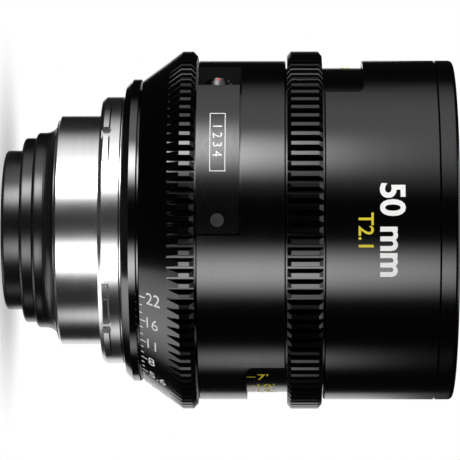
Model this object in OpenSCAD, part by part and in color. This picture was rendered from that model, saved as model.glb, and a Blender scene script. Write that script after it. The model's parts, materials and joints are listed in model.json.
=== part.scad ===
// Cinema prime lens: four-tab bayonet mount, geared iris and focus rings, and a data port.
// Millimetres. +Z is the optical axis, toward the subject. The origin is the centre of the
// mount's flange face. -Y is the top of the lens, and +X is the side with the rear scale window.

/* [Mount] */
// Diameter of the register tube that enters the camera
mount_tube_d = 54; // [53:0.1:55]
// Length of the register tube behind the flange face
mount_tube_len = 10.3; // [10:0.1:12]
// Width of the flange face around the tube
mount_flange_w = 4.5; // [4.3:0.1:5]
// Height of the neck in front of the flange face
mount_neck_h = 5; // [4.6:0.1:6]
// Height of the bayonet tabs above the neck
tab_rise = 0.6; // [0.4:0.05:1]
// Angle that one bayonet tab spans
tab_angle = 44; // [36:1:52]
// Width of the notch in the middle of a tab
tab_notch_w = 3; // [2:0.1:4]

/* [Rear baffle] */
// Diameter of the baffle's widest ring
baffle_d = 46.1; // [45:0.1:47]
// Diameter of the ring behind it
baffle_step_d = 43.6; // [42:0.1:44.5]
// Diameter of the baffle's rearmost ring
baffle_tip_d = 37.6; // [36.5:0.1:40]
// Length of the baffle behind the register tube
baffle_len = 12.8; // [12:0.1:14]
// Width of the lip behind the rear element
baffle_lip_w = 2; // [1.5:0.1:4]

/* [Barrel] */
// Height of the outer barrels above the register tube
barrel_rise = 13; // [12.5:0.25:15]
// Length of the middle barrel
middle_barrel_h = 20.3; // [20:0.1:24]
// Length of the front barrel
front_barrel_h = 26; // [25.5:0.1:30]
// Length of the front ring
front_ring_h = 4.35; // [4.2:0.05:6]
// Length of a scale window along the axis
window_h = 9.1; // [7:0.1:9.2]
// Angle that a scale window spans
window_angle = 76; // [50:1:84]

/* [Rings] */
// Height of the index ring above the neck
index_rise = 4.2; // [3.8:0.1:4.8]
// Length of the iris ring
iris_ring_h = 12.8; // [12.4:0.1:14]
// Length of the focus gear
focus_gear_h = 8.1; // [7:0.1:9]
// Number of teeth on each gear ring
gear_teeth = 104; // [90:1:110]
// Height of the teeth above the barrel
gear_rise = 2.2; // [1.8:0.1:2.6]

/* [Motion] */
// Turn of the iris ring from wide open to closed, in degrees
iris_turn = 67; // [50:1:70]
// Turn of each iris blade over the same travel, in degrees
blade_turn = 31; // [20:1:31]
// Turn of the focus ring from infinity to close focus, in degrees
focus_turn = 270; // [180:5:280]
// Forward travel of the focus group over that turn
focus_travel = 6; // [4:0.5:6.5]

/* [Data port] */
// Angle that the port's cover spans
port_angle = 54.4; // [50:0.2:56]
// Width of the port's cover along the axis
port_w = 9.8; // [9.4:0.1:10]
// Diameter of the socket's collar
socket_d = 7.7; // [7:0.1:8]

/* [Hidden] */
$fn = 96;
BLADES = 10;

// Colours
BLACK = [0.07, 0.07, 0.075];
DARK = [0.12, 0.12, 0.13];
STEEL = "silver";
BRASS = [0.78, 0.62, 0.30];
GLASS = [0.55, 0.68, 0.75, 0.45];
BOARD = [0.05, 0.25, 0.12];
SLIDE = [0.85, 0.83, 0.78];

// Fits: radial play of a fixed joint and of a running one, the room around a screw, the gap between
// faces that stay apart, and the seams between barrels and rings
seat_play = 0.04;
run_play = 0.07;
screw_play = 0.06;
face_gap = 0.1;
ring_gap = 0.35;

// How far a cutter reaches past what it cuts
over = 1;

// Stations along the axis, from the rear to the front
shim_t = 0.2;
index_ring_h = 3.85;
z_tube = -mount_tube_len;
z_rear = z_tube - baffle_len;
z_index = mount_neck_h + shim_t;
z_index_top = z_index + index_ring_h;
z_iris = z_index_top + ring_gap;
z_iris_top = z_iris + iris_ring_h;
z_mid = z_iris_top + ring_gap;
z_mid_top = z_mid + middle_barrel_h;
z_gear = z_mid_top + ring_gap;
z_gear_top = z_gear + focus_gear_h;
z_front = z_gear_top + ring_gap;
z_front_top = z_front + front_barrel_h;
z_rim = z_front_top + front_ring_h;

// Radii of the mount, the barrels and the gear rings
tube_r = mount_tube_d / 2;
neck_r = tube_r + mount_flange_w;
mount_wall = 2.5;
mount_bore_r = tube_r - mount_wall;
tube_bevel_w = 0.9;
tube_bevel_h = 0.5;
flange_bevel_w = 0.7;
flange_bevel_h = 0.9;
neck_bevel = 0.3;
tab_z = 0.7;
tab_h = 1.8;
tab_bevel = 0.2;
tab_inset = 0.1;
tab_root = 1.2;
tab_step_angle = 14;
notch_depth = 0.5;
notch_over = 0.2;
barrel_r = tube_r + barrel_rise;
index_r = neck_r + index_rise;
tip_r = barrel_r + gear_rise;
tooth_root_rise = 0.2;
root_r = barrel_r + tooth_root_rise;
tooth_tip_w = 0.8;
tooth_root_gap = 0.4;
tooth_over = 0.2;
gear_bevel_w = 1.05;
gear_bevel_h = 0.9;
barrel_edge = 0.3;
window_corner = 1.8;

// Rear baffle: lengths of its rings, the rounding of their edges, and the spigot inside the mount
baffle_tip_h = 4.4;
baffle_step_h = 3;
baffle_wide_h = 1.9;
baffle_round = 0.8;
baffle_groove_w = 0.3;
baffle_groove_h = 0.15;
baffle_rim_inset = 1.1;
baffle_rim_r = tube_r - baffle_rim_inset;
baffle_rim_h = 0.25;
baffle_mouth = 0.6;
baffle_lip_h = 4.1;
rear_skirt_w = 2;
baffle_spigot_r = mount_bore_r - rear_skirt_w;
baffle_spigot_h = 3.1;

// Rear optics: radii of the glass, the inner radii of what holds it, thicknesses and bulges
baffle_wall = 1.8;
rear_glass_r = baffle_tip_d / 2 - baffle_wall;
rear_glass_t = 5.4;
rear_glass_sag = 1.6;
rear_glass_dip = 1;
z_rear_glass = z_rear + baffle_lip_h + face_gap;
z_rear_glass_top = z_rear_glass + rear_glass_t;
rear_pair_r = 18;
glass_lip = 1.5;
rear_pair_lip_r = rear_pair_r - glass_lip;
rear_pair_lip_h = 1.6;
rear_pair_t = 4.7;
rear_pair_front_t = 5.25;
rear_pair_sag = 1.4;
rear_pair_joint = 1.2;
rear_pair_front_sag = 1.5;
z_rear_pair_lip = z_tube + baffle_spigot_h + face_gap;
z_rear_pair = z_rear_pair_lip + rear_pair_lip_h + face_gap;
cement_t = 0.05;
retainer_lip = 1.6;
retainer_rise = 0.9;

// Radii of the focus mechanism, from the scale drum inward
drum_depth = 1.7;
drum_t = 2.05;
cam_t = 1.8;
main_t = 1.9;
main_step = 0.8;
drum_r = barrel_r - drum_depth;
drum_gap = 0.3;
shell_bore_r = drum_r + drum_gap;
cam_r = drum_r - drum_t;
main_r = cam_r - cam_t;
main_bore_r = main_r - main_t;
main_front_r = main_r - main_step;
neck_seat_h = 2.4;

// Places of the focus mechanism
port_wall = 0.8;
z_shoulder = z_mid + port_w + port_wall;
slide_ring_t = 0.35;
slide_play = 0.05;
z_drum = z_shoulder + slide_ring_t + slide_play;
drum_over = 0.45;
z_drum_top = z_front + window_h + drum_over;
z_stop = z_drum_top + slide_ring_t + slide_play;
front_flange_h = 4;
z_flange_top = z_stop + front_flange_h;
lock_ring_h = 2.5;
main_proud = 0.4;
z_main_top = z_flange_top + lock_ring_h + main_proud;
main_floor_t = 1.6;
focus_screw_r = 0.8;
focus_screw_len = 2.4;
focus_screw_edge = 2.2;
focus_screw_z = z_drum_top - focus_screw_edge;

// Focus cell, its follower and its glass
follower_r = 1.5;
follower_shank_r = 1.1;
follower_shank_len = 4.8;
follower_angle = 90;
follower_slot_r = follower_r + face_gap;
cell_room = 3.4;
z_cell = z_shoulder + cell_room;
cell_h = 16;
cell_wall = 1.9;
z_follower = z_cell + cell_h / 2;
web_half = 2.2;
focus_cell_w = 8.55;
focus_glass_r = main_bore_r - focus_cell_w;
focus_hub_t = 2;
focus_lip_r = focus_glass_r - glass_lip;
focus_lip_h = 1.4;
focus_pair_t = 5.8;
focus_pair_front_t = 5.55;
focus_pair_sag = 1.8;
focus_pair_bulge = 1.6;
focus_hub_inset = 2.2;
z_focus_hub = z_cell + focus_hub_inset;
z_focus_pair = z_focus_hub + focus_lip_h + face_gap;
z_focus_pair_top = z_focus_pair + focus_pair_t - focus_pair_bulge + cement_t + focus_pair_front_t;
focus_retainer_rise = 0.8;
z_focus_retainer_top = z_focus_pair_top + focus_retainer_rise;

// Front cell, front ring and front optics
front_wall = 2.5;
cell_r = barrel_r - front_wall;
front_cell_t = 1.1;
spigot_step = 1.1;
spigot_r = barrel_r - spigot_step;
spigot_h = 3.6;
thread_wall = 1.9;
thread_r = barrel_r - thread_wall;
thread_h = 4;
z_spigot = z_front_top - spigot_h;
z_thread = z_rim - thread_h;
front_groove_w = 0.5;
front_groove_h = 0.22;
front_cell_w = 3;
front_glass_r = cell_r - front_cell_w;
front_glass_lip = 1.6;
front_glass_dip = 4;
front_glass_sag = 3.2;
front_floor_t = 1;
front_glass_sunk = 0.6;
front_shelf_rise = 1.2;
z_front_floor = z_main_top + 2 * face_gap;
z_front_glass = z_front_floor + front_floor_t;
z_front_glass_top = z_thread - front_glass_sunk;
z_front_glass_edge = z_front_glass_top - front_glass_sag;
z_front_shelf = z_front_glass_edge + front_shelf_rise;
front_rebate = 0.6;
second_cell_w = 4.55;
second_glass_r = main_bore_r - second_cell_w;
second_lip_r = second_glass_r - glass_lip;
second_lip_h = 1.6;
second_glass_t = 5.1;
second_glass_dip = 1.5;
second_glass_sag = 2;
z_second_glass = z_stop + face_gap;
z_second_glass_top = z_second_glass + second_glass_t;

// Places of the iris
iris_step = 0.6;
iris_bore_r = tube_r + iris_step;
iris_r = iris_bore_r - seat_play;
neck_seat_w = 1.4;
neck_seat_r = iris_bore_r + neck_seat_w;
iris_clear_r = 12.8;
blade_t = 0.15;
blade_step = 0.25;
pivot_inset = 6.6;
pivot_r = iris_bore_r - pivot_inset;
blade_show = 0.1;
blade_in_r = iris_clear_r - blade_show;
blade_neck = 1.2;
blade_out_r = pivot_r - blade_neck;
blade_span = 112;
blade_heel = 4;
blade_tip = 7;
blade_boss_r = 1.2;
blade_root_w = 3.12;
blade_tip_shift = 1;
pivot_pin_r = 0.5;
pivot_play = 0.03;
drive_arm = 5;
drive_arm_w = 1.6;
drive_boss_r = 0.9;
drive_pin_r = 0.4;
cam_slot_play = 0.06;
cam_slot_steps = 14;
cam_slot_end = 0.03;
iris_cover_h = 0.85;
actuator_h = 2.25;
iris_base_h = 1.5;
rear_flange_h = 4.1;
iris_lip = 0.8;
iris_gap = 0.15;
z_rear_flange = z_index + 2 * face_gap;
z_rear_flange_top = z_rear_flange + rear_flange_h;
iris_seat_gap = 0.05;
z_iris_cover = z_rear_flange_top + iris_seat_gap;
z_actuator = z_iris_cover + iris_cover_h + iris_gap;
blade_gap = 0.2;
z_blades = z_actuator + actuator_h + blade_gap;
z_iris_base = z_blades + BLADES * blade_step + iris_gap;
z_iris_seat = z_iris_base + iris_base_h;
pin_short = 0.2;
drive_screw_r = 0.8;
drive_screw_z = z_actuator + actuator_h / 2;
drive_screw_angle = 90;
drive_screw_reach = 2.2;
drive_screw_rise = 0.5;
drive_slot_play = 0.2;
cone_step = 0.2;
cone_r = index_r - cone_step;
iris_wall = 2.3;
journal_r = cone_r - iris_wall;
drive_screw_end_r = iris_bore_r - drive_screw_reach;
drive_screw_head_r = cone_r + drive_screw_rise;
cone_h = 9.4;
cone_bevel_w = 0.3;
cone_bevel_h = 0.2;
land_bevel_w = 1.1;
land_bevel_h = 1;

// Places of the data port, in a frame turned so that its X points out through the cover's middle
port_mid_angle = -116;
port_z = z_mid + port_w / 2;
cover_end_rise = 1.2;
port_end_y = -(barrel_r + cover_end_rise) * sin(port_angle / 2);
cover_t = 1.8;
cover_floor_r = barrel_r - cover_t;
cover_swell = 1.6;
cover_gap = 0.15;
cover_edge_gap = 0.45;
cover_end_angle = port_angle / 2 + 5;
cover_round = 4.2;
cover_r = barrel_r + cover_round;
board_drop = 2;
board_x = (neck_seat_r + cover_floor_r) / 2 - board_drop;
socket_lift = 1;
socket_x = board_x + socket_lift;
collar_rise = 0.75;
socket_body_r = socket_d / 2 - collar_rise;
socket_wall = 0.6;
socket_lip = 0.6;
socket_back_t = 1;
collar_proud = 1.5;
socket_proud = 2.6;
socket_len = 9.6;
insert_len = 4;
contact_r = 0.36;
contact_reach = 3;
contact_tail = 0.35;
contact_step = 0.9;
plug_room = 4.5;
plug_floor_x = socket_x - plug_room;
board_t = 1;
board_gap = 0.4;
board_y = port_end_y + socket_len + board_gap;
board_len = 17;
board_side_wall = 0.9;
board_side_gap = 0.3;
cover_screw_angle = port_angle / 2 - 4.4;
cover_screw_r = 0.85;
cover_screw_head_r = 1.5;
cover_screw_head_h = 0.75;
cover_screw_len = 5.5;
cover_screw_sunk = 0.05;

// Mount screws
screw_shift = 0.1;
screw_circle_r = (tube_r + neck_r - flange_bevel_w) / 2 + screw_shift;
screw_r = 0.8;
screw_head_r = 1.4;
screw_head_h = 0.85;
screw_len = 8;
screw_sunk = 0.1;
screw_mouth = 0.2;
hex_r = 0.75;
hex_depth = 0.5;
small_hex_r = 0.45;
small_hex_depth = 0.6;

// Shapes that repeat

function arc_points(cx, cy, r, from, to, steps = 6) =
    [for (i = [0:steps]) let (a = from + (to - from) * i / steps) [cx + r * cos(a), cy + r * sin(a)]];

function polar(r, a) = [r * cos(a), r * sin(a)];

// A ring from radius r0 to r1 between two heights
module ring(r0, r1, z0, z1) {
    translate([0, 0, z0]) difference() {
        cylinder(r = r1, h = z1 - z0);
        translate([0, 0, -over]) cylinder(r = r0, h = z1 - z0 + 2 * over);
    }
}

// A ring's part from angle a0 to a1
module ring_part(r0, r1, z0, z1, a0, a1) {
    rotate([0, 0, a0]) translate([0, 0, z0]) rotate_extrude(angle = a1 - a0)
        translate([r0, 0]) square([r1 - r0, z1 - z0]);
}

// A radial pin at angle a and height z, from radius r0 to r1
module radial_pin(r, a, z, r0, r1) {
    rotate([0, 0, a]) translate([r0, 0, z]) rotate([0, 90, 0]) cylinder(r = r, h = r1 - r0);
}

// Radius of the ball whose cap of radius r is sag high
function ball_r(r, sag) = (r * r + sag * sag) / (2 * sag);

// How far that cap has dropped below its top at a smaller radius
function cap_drop(r, sag, at) = ball_r(r, sag) - sqrt(pow(ball_r(r, sag), 2) - at * at);

// A retaining ring of radius r and inner radius r0 that presses on a convex glass from the front
module retaining_ring(r, r0, glass_top, sag, top) {
    slot_w = 1.6;
    slot_h = 0.8;
    difference() {
        ring(r0, r, glass_top - cap_drop(r, sag, r0) + cement_t, top);
        for (a = [0, 180]) rotate([0, 0, a]) translate([r0 - over, -slot_w / 2, top - slot_h])
            cube([r - r0 + 2 * over, slot_w, slot_h + over]);
    }
}

// One glass element: z0 and z1 are its rear and front reach, and a positive sag bulges outward
module glass(r, z0, z1, sag0, sag1) {
    $fn = 240;
    difference() {
        intersection() {
            translate([0, 0, z0]) cylinder(r = r, h = z1 - z0);
            if (sag0 > 0) translate([0, 0, z0 + ball_r(r, sag0)]) sphere(r = ball_r(r, sag0));
            else translate([0, 0, z0 - over]) cylinder(r = r + over, h = z1 - z0 + 2 * over);
            if (sag1 > 0) translate([0, 0, z1 - ball_r(r, sag1)]) sphere(r = ball_r(r, sag1));
            else translate([0, 0, z0 - over]) cylinder(r = r + over, h = z1 - z0 + 2 * over);
        }
        if (sag0 < 0) translate([0, 0, z0 - sag0 - ball_r(r, -sag0)]) sphere(r = ball_r(r, -sag0));
        if (sag1 < 0) translate([0, 0, z1 + sag1 + ball_r(r, -sag1)]) sphere(r = ball_r(r, -sag1));
    }
}

// The outline of a gear ring's teeth, with straight flanks
function tooth_points(i) =
    let (mid = 360 * i / gear_teeth)
    let (tip = tooth_tip_w / 2 / tip_r * 180 / PI)
    let (root = 180 / gear_teeth - tooth_root_gap / 2 / root_r * 180 / PI)
    let (top = tip_r + tooth_over)
    [polar(root_r, mid - root), polar(top, mid - tip), polar(top, mid + tip), polar(root_r, mid + root)];

module gear_prism(z0, z1) {
    translate([0, 0, z0]) linear_extrude(z1 - z0)
        polygon([for (i = [0:gear_teeth - 1]) for (p = tooth_points(i)) p]);
}

// A hex recess that goes down from the origin
module hex_recess(r, depth) {
    translate([0, 0, -depth]) cylinder(r = r, h = depth + over, $fn = 6);
}

// The same, sunk inward from radius r1 at angle a and height z
module radial_hex(r, depth, a, z, r1) {
    rotate([0, 0, a]) translate([r1, 0, z]) rotate([0, 90, 0]) hex_recess(r, depth);
}

// Places something at each mount screw
module at_mount_screws() {
    for (a = [0:90:270]) rotate([0, 0, a]) translate([screw_circle_r, 0, 0]) children();
}

module mount_screw_shape(play) {
    slope = (screw_head_r - screw_r) / screw_head_h;
    mouth = play > 0 ? screw_mouth : 0;
    wide = screw_head_r + play + slope * mouth;
    translate([0, 0, screw_sunk]) {
        translate([0, 0, -mouth]) cylinder(r1 = wide, r2 = screw_r + play, h = screw_head_h + mouth);
        cylinder(r = screw_r + play, h = screw_len + play);
    }
}

// A rounded window through a barrel's side, open toward one end of it
module window_cutter(open_z, back_z, side) {
    half = barrel_r * sin(window_angle / 2);
    dir = sign(back_z - open_z);
    side_x = half - window_corner;
    corner_z = back_z - dir * window_corner;
    outline = concat(
        [[-half, open_z - dir * over], [half, open_z - dir * over]],
        arc_points(side_x, corner_z, window_corner, 0, dir * 90),
        arc_points(-side_x, corner_z, window_corner, dir * 90, dir * 180)
    );
    rotate([0, 0, side]) rotate([90, 0, 90]) translate([0, 0, (drum_r - drum_t) * cos(window_angle / 2)])
        linear_extrude(barrel_r) polygon(outline);
}

// The frame of the data port: X out through the middle of the cover, Y against the plug
module port_frame() {
    rotate([0, 0, port_mid_angle]) children();
}

// A cylinder along the plug's axis, from y0 to y1 in the port frame
module along_plug(r, y0, y1, x = 0, z = 0) {
    translate([socket_x + x, y0, port_z + z]) rotate([-90, 0, 0]) cylinder(r = r, h = y1 - y0);
}

// Mount and rear optics

module pl_mount() {
    color(STEEL) difference() {
        union() {
            rotate_extrude() polygon([
                [mount_bore_r, z_tube], [tube_r - tube_bevel_w, z_tube], [tube_r, z_tube + tube_bevel_h],
                [tube_r, 0], [neck_r - flange_bevel_w, 0], [neck_r, flange_bevel_h],
                [neck_r, mount_neck_h - neck_bevel], [neck_r - neck_bevel, mount_neck_h],
                [mount_bore_r, mount_neck_h]
            ]);
            for (a = [45:90:315]) rotate([0, 0, a]) {
                bayonet_step(tab_rise / 2, tab_angle, 0);
                bayonet_step(tab_rise, tab_angle - tab_step_angle, tab_inset);
            }
        }
        for (a = [45:90:315]) rotate([0, 0, a])
            translate([neck_r - notch_depth, -tab_notch_w / 2, tab_z - notch_over])
                cube([notch_depth + tab_rise + over, tab_notch_w, tab_h + 2 * notch_over]);
        at_mount_screws() mount_screw_shape(screw_play);
    }
}

// A tab is two such steps, the higher one shorter and a little narrower
module bayonet_step(rise, angle, inset) {
    top = neck_r + rise;
    z0 = tab_z + inset;
    z1 = tab_z + tab_h - inset;
    rotate([0, 0, -angle / 2]) rotate_extrude(angle = angle) polygon([
        [neck_r - tab_root, z0], [top - tab_bevel, z0], [top, z0 + tab_bevel],
        [top, z1 - tab_bevel], [top - tab_bevel, z1], [neck_r - tab_root, z1]
    ]);
}

module mount_screws() {
    color(STEEL) at_mount_screws() difference() {
        mount_screw_shape(0);
        translate([0, 0, screw_sunk]) rotate([180, 0, 0]) hex_recess(hex_r, hex_depth);
    }
}

module mount_shim() {
    color(STEEL) difference() {
        ring(mount_bore_r + ring_gap, neck_r - ring_gap, mount_neck_h, z_index);
        at_mount_screws() cylinder(r = screw_r + 2 * screw_play, h = z_index + over);
    }
}

module rear_baffle() {
    wide = baffle_d / 2;
    tip = baffle_tip_d / 2;
    step = baffle_step_d / 2;
    z1 = z_rear + baffle_tip_h;
    z2 = z1 + baffle_step_h;
    z3 = z2 + baffle_wide_h;
    flare_w = baffle_rim_r - wide;
    flare_h = z_tube - baffle_rim_h - z3;
    bore = rear_glass_r - baffle_lip_w;
    seat = rear_glass_r + seat_play;
    spigot_top = z_tube + baffle_spigot_h;
    lip_top = z_rear + baffle_lip_h;
    color(BLACK) rotate_extrude() polygon(concat(
        [[bore + baffle_mouth, z_rear]],
        arc_points(tip - baffle_round, z_rear + baffle_round, baffle_round, -90, 0),
        [[tip, z1 - baffle_groove_h], [tip - baffle_groove_w, z1]],
        arc_points(step - baffle_round, z1 + baffle_round, baffle_round, -90, 0),
        [[step, z2 - baffle_groove_h], [step - baffle_groove_w, z2]],
        arc_points(wide - baffle_round, z2 + baffle_round, baffle_round, -90, 0),
        [for (a = [0:10:90]) [wide + flare_w * (1 - cos(a)), z3 + flare_h * sin(a)]],
        [[baffle_rim_r, z_tube], [baffle_spigot_r, z_tube], [baffle_spigot_r, spigot_top]],
        [[seat, spigot_top], [seat, lip_top], [bore, lip_top], [bore, z_rear + baffle_mouth]]
    ));
}

module rear_element() {
    color(GLASS) glass(rear_glass_r, z_rear_glass, z_rear_glass_top, -rear_glass_dip, rear_glass_sag);
}

module rear_retainer() {
    inner = rear_glass_r - retainer_lip;
    top = z_rear_glass_top + retainer_rise;
    color(BLACK) retaining_ring(rear_glass_r, inner, z_rear_glass_top, rear_glass_sag, top);
}

module rear_cell() {
    skirt = baffle_spigot_r + seat_play;
    out = mount_bore_r - seat_play;
    bore = rear_pair_r + seat_play;
    z0 = z_tube + face_gap;
    lip_top = z_rear_pair_lip + rear_pair_lip_h;
    color(BLACK) rotate_extrude() polygon([
        [skirt, z0], [out, z0], [out, z_rear_flange], [iris_r, z_rear_flange],
        [iris_r, z_rear_flange_top], [bore, z_rear_flange_top], [bore, lip_top],
        [rear_pair_lip_r, lip_top], [rear_pair_lip_r, z_rear_pair_lip], [skirt, z_rear_pair_lip]
    ]);
}

module rear_doublet() {
    joint = z_rear_pair + rear_pair_t;
    front = joint - rear_pair_joint + cement_t;
    color(GLASS) {
        glass(rear_pair_r, z_rear_pair, joint, rear_pair_sag, -rear_pair_joint);
        glass(rear_pair_r, front, front + rear_pair_front_t, rear_pair_joint, rear_pair_front_sag);
    }
}

module rear_lock_ring() {
    inner = rear_pair_r - retainer_lip;
    glass_top = z_rear_pair + rear_pair_t - rear_pair_joint + cement_t + rear_pair_front_t;
    top = glass_top + retainer_rise;
    color(BLACK) retaining_ring(rear_pair_r, inner, glass_top, rear_pair_front_sag, top);
}

// Rear barrel, iris ring and iris

module rear_barrel() {
    slot_edge = asin((drive_screw_r + drive_slot_play) / iris_bore_r);
    slot_half = drive_screw_r + drive_slot_play;
    bevel = 1.6;
    bevel_z = 0.4;
    bore = iris_bore_r - iris_lip;
    color(BLACK) difference() {
        rotate_extrude() polygon([
            [iris_bore_r, z_index], [neck_r + barrel_edge, z_index], [index_r - bevel, z_index + bevel_z],
            [index_r, z_index + bevel_z + bevel], [index_r, z_index_top - barrel_edge],
            [index_r - barrel_edge, z_index_top], [journal_r, z_index_top], [journal_r, z_mid],
            [neck_seat_r, z_mid], [neck_seat_r, z_mid + neck_seat_h], [bore, z_mid + neck_seat_h],
            [bore, z_iris_seat], [iris_bore_r, z_iris_seat]
        ]);
        ring_part(
            iris_bore_r - over, journal_r + over, drive_screw_z - slot_half, drive_screw_z + slot_half,
            drive_screw_angle - slot_edge, drive_screw_angle + iris_turn + slot_edge
        );
        at_mount_screws() mount_screw_shape(screw_play);
    }
}

module iris_ring() {
    bore = journal_r + run_play;
    color(BLACK) difference() {
        intersection() {
            rotate_extrude() polygon([
                [bore, z_iris], [cone_r - cone_bevel_w, z_iris], [cone_r, z_iris + cone_bevel_h],
                [tip_r, z_iris + cone_h], [tip_r, z_iris_top - land_bevel_h],
                [tip_r - land_bevel_w, z_iris_top], [bore, z_iris_top]
            ]);
            gear_prism(z_iris - over, z_iris_top + over);
        }
        radial_pin(drive_screw_r + seat_play, drive_screw_angle, drive_screw_z, journal_r - over, tip_r);
    }
}

module iris_drive_screw() {
    a = drive_screw_angle;
    color(STEEL) difference() {
        radial_pin(drive_screw_r, a, drive_screw_z, drive_screw_end_r, drive_screw_head_r);
        radial_hex(small_hex_r, small_hex_depth, a, drive_screw_z, drive_screw_head_r);
    }
}

// Places something at each blade
module at_blades() {
    for (i = [0:BLADES - 1]) rotate([0, 0, 360 * i / BLADES]) children();
}

module iris_base() {
    color(DARK) difference() {
        ring(iris_clear_r, iris_r, z_iris_base, z_iris_seat);
        at_blades() translate([pivot_r, 0, z_iris_base - over])
            cylinder(r = pivot_pin_r + pivot_play, h = iris_base_h + 2 * over);
    }
}

// Where a blade's drive pin is, in the actuator's frame, at a share of the travel
function drive_point(share) =
    let (a = blade_turn * share)
    let (x = pivot_r + drive_arm * sin(a))
    let (y = -drive_arm * cos(a))
    [norm([x, y]), atan2(y, x) - iris_turn * share];

module iris_actuator() {
    half = drive_pin_r + cam_slot_play;
    steps = cam_slot_steps;
    points = [for (i = [0:steps]) drive_point(-cam_slot_end + (1 + 2 * cam_slot_end) * i / steps)];
    hole_r = drive_screw_r + seat_play;
    hole_end_r = drive_screw_end_r - face_gap;
    color(DARK) difference() {
        ring(iris_clear_r, iris_bore_r - run_play, z_actuator, z_actuator + actuator_h);
        at_blades() translate([0, 0, z_actuator - over]) linear_extrude(actuator_h + 2 * over)
            polygon(concat(
                [for (p = points) polar(p[0] + half, p[1])],
                [for (k = [steps:-1:0]) polar(points[k][0] - half, points[k][1])]
            ));
        radial_pin(hole_r, drive_screw_angle, drive_screw_z, hole_end_r, iris_bore_r + over);
    }
}

module iris_cover() {
    color(DARK) ring(iris_clear_r, iris_r, z_iris_cover, z_iris_cover + iris_cover_h);
}

// One blade: a crescent with a tab that carries the pivot pin and, on a tail, the drive pin
module iris_blade(number) {
    level = z_blades + (number - 1) * blade_step;
    steps = 16;
    leaf_root = blade_out_r - over;
    leaf = concat(
        arc_points(0, 0, blade_out_r, -blade_heel, blade_span, steps),
        [polar((blade_in_r + blade_out_r) / 2 + blade_tip_shift, blade_span + blade_tip)],
        arc_points(0, 0, blade_in_r, blade_span, -blade_heel, steps)
    );
    boss = blade_boss_r;
    color(DARK) rotate([0, 0, 360 * (number - 1) / BLADES]) {
        translate([0, 0, level]) linear_extrude(blade_t) {
            polygon(leaf);
            polygon([[leaf_root, -boss], [pivot_r, -boss], [pivot_r, boss], [leaf_root, blade_root_w]]);
            translate([pivot_r, 0]) circle(r = boss);
            translate([pivot_r - drive_arm_w / 2, -drive_arm]) square([drive_arm_w, drive_arm]);
            translate([pivot_r, -drive_arm]) circle(r = drive_boss_r);
        }
        translate([pivot_r, 0, level]) cylinder(r = pivot_pin_r, h = z_iris_seat - level - pin_short);
        translate([pivot_r, -drive_arm, z_actuator + pin_short])
            cylinder(r = drive_pin_r, h = level + blade_t - z_actuator - pin_short);
    }
}

// Middle barrel and data port

module middle_barrel() {
    edge = barrel_edge;
    bore = neck_seat_r + seat_play;
    color(BLACK) difference() {
        rotate_extrude() polygon([
            [bore, z_mid], [barrel_r - edge, z_mid], [barrel_r, z_mid + edge],
            [barrel_r, z_mid_top - edge], [barrel_r - edge, z_mid_top], [shell_bore_r, z_mid_top],
            [shell_bore_r, z_shoulder], [bore, z_shoulder]
        ]);
        window_cutter(z_mid_top, z_mid_top - window_h, 0);
        port_frame() port_cutter();
    }
}

// The pocket for the cover, the socket, its board and the plug's channel
module port_cutter() {
    z0 = z_mid - over;
    z1 = z_mid + port_w + cover_gap;
    pocket_top = z_mid + port_w + cover_edge_gap;
    edge_angle = cover_edge_gap / barrel_r * 180 / PI;
    socket_end = port_end_y + socket_len;
    ring_part(
        cover_floor_r, barrel_r + over, z0, pocket_top, -cover_end_angle, port_angle / 2 + edge_angle
    );
    translate([plug_floor_x, port_end_y - barrel_r, z0]) cube([barrel_r, barrel_r, z1 - z0]);
    along_plug(socket_body_r + seat_play, port_end_y - over, socket_end + face_gap);
    translate([board_x - board_gap, socket_end, z_mid + board_side_wall])
        cube([cover_floor_r - board_x + over, board_len + 2 * board_gap, port_w - 2 * board_side_wall]);
    cover_screw_hole(cover_screw_r + seat_play, barrel_r - cover_screw_len - face_gap);
}

// A hole square to the barrel where the cover's screw goes
module cover_screw_hole(r, depth_r) {
    radial_pin(r, cover_screw_angle, port_z, depth_r, barrel_r + 2 * over);
}

// The cover's outside is a wider curve than the barrel, flush at one end and proud at the plug's
module data_cover() {
    half = port_angle / 2;
    low = polar(barrel_r, half);
    high = polar(barrel_r + cover_swell, -half);
    chord = low - high;
    middle = (low + high) / 2;
    inward = [-chord[1], chord[0]] / norm(chord);
    centre = middle + inward * sqrt(pow(cover_r, 2) - pow(norm(chord) / 2, 2));
    color(BLACK) port_frame() difference() {
        intersection() {
            translate([centre[0], centre[1], z_mid]) cylinder(r = cover_r, h = port_w);
            ring_part(
                cover_floor_r + seat_play, barrel_r + 2 * cover_swell, z_mid - over, z_mid + port_w + over,
                -cover_end_angle, half
            );
            translate([0, port_end_y, 0]) cube([2 * barrel_r, 2 * barrel_r, z_mid_top]);
        }
        along_plug(socket_body_r + cover_gap, port_end_y - over, port_end_y + socket_len + over);
        cover_screw_hole(cover_screw_r + seat_play, cover_floor_r - over);
        cover_screw_hole(cover_screw_head_r + seat_play, barrel_r - cover_screw_head_h - cover_screw_sunk);
    }
}

module data_cover_screw() {
    a = cover_screw_angle;
    head = barrel_r - cover_screw_sunk;
    color(STEEL) port_frame() difference() {
        union() {
            radial_pin(cover_screw_head_r, a, port_z, head - cover_screw_head_h, head);
            radial_pin(cover_screw_r, a, port_z, barrel_r - cover_screw_len, head - hex_depth);
        }
        radial_hex(hex_r, hex_depth, a, port_z, head);
    }
}

module data_socket_shell() {
    mouth = port_end_y - socket_proud;
    color(STEEL) port_frame() difference() {
        union() {
            along_plug(socket_d / 2, port_end_y - collar_proud, port_end_y);
            along_plug(socket_body_r, mouth, port_end_y + socket_len);
        }
        along_plug(socket_body_r - socket_wall, mouth - over, port_end_y + socket_len - socket_back_t);
        along_plug(socket_body_r - socket_wall - socket_lip, mouth, port_end_y + socket_len + over);
    }
}

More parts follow.
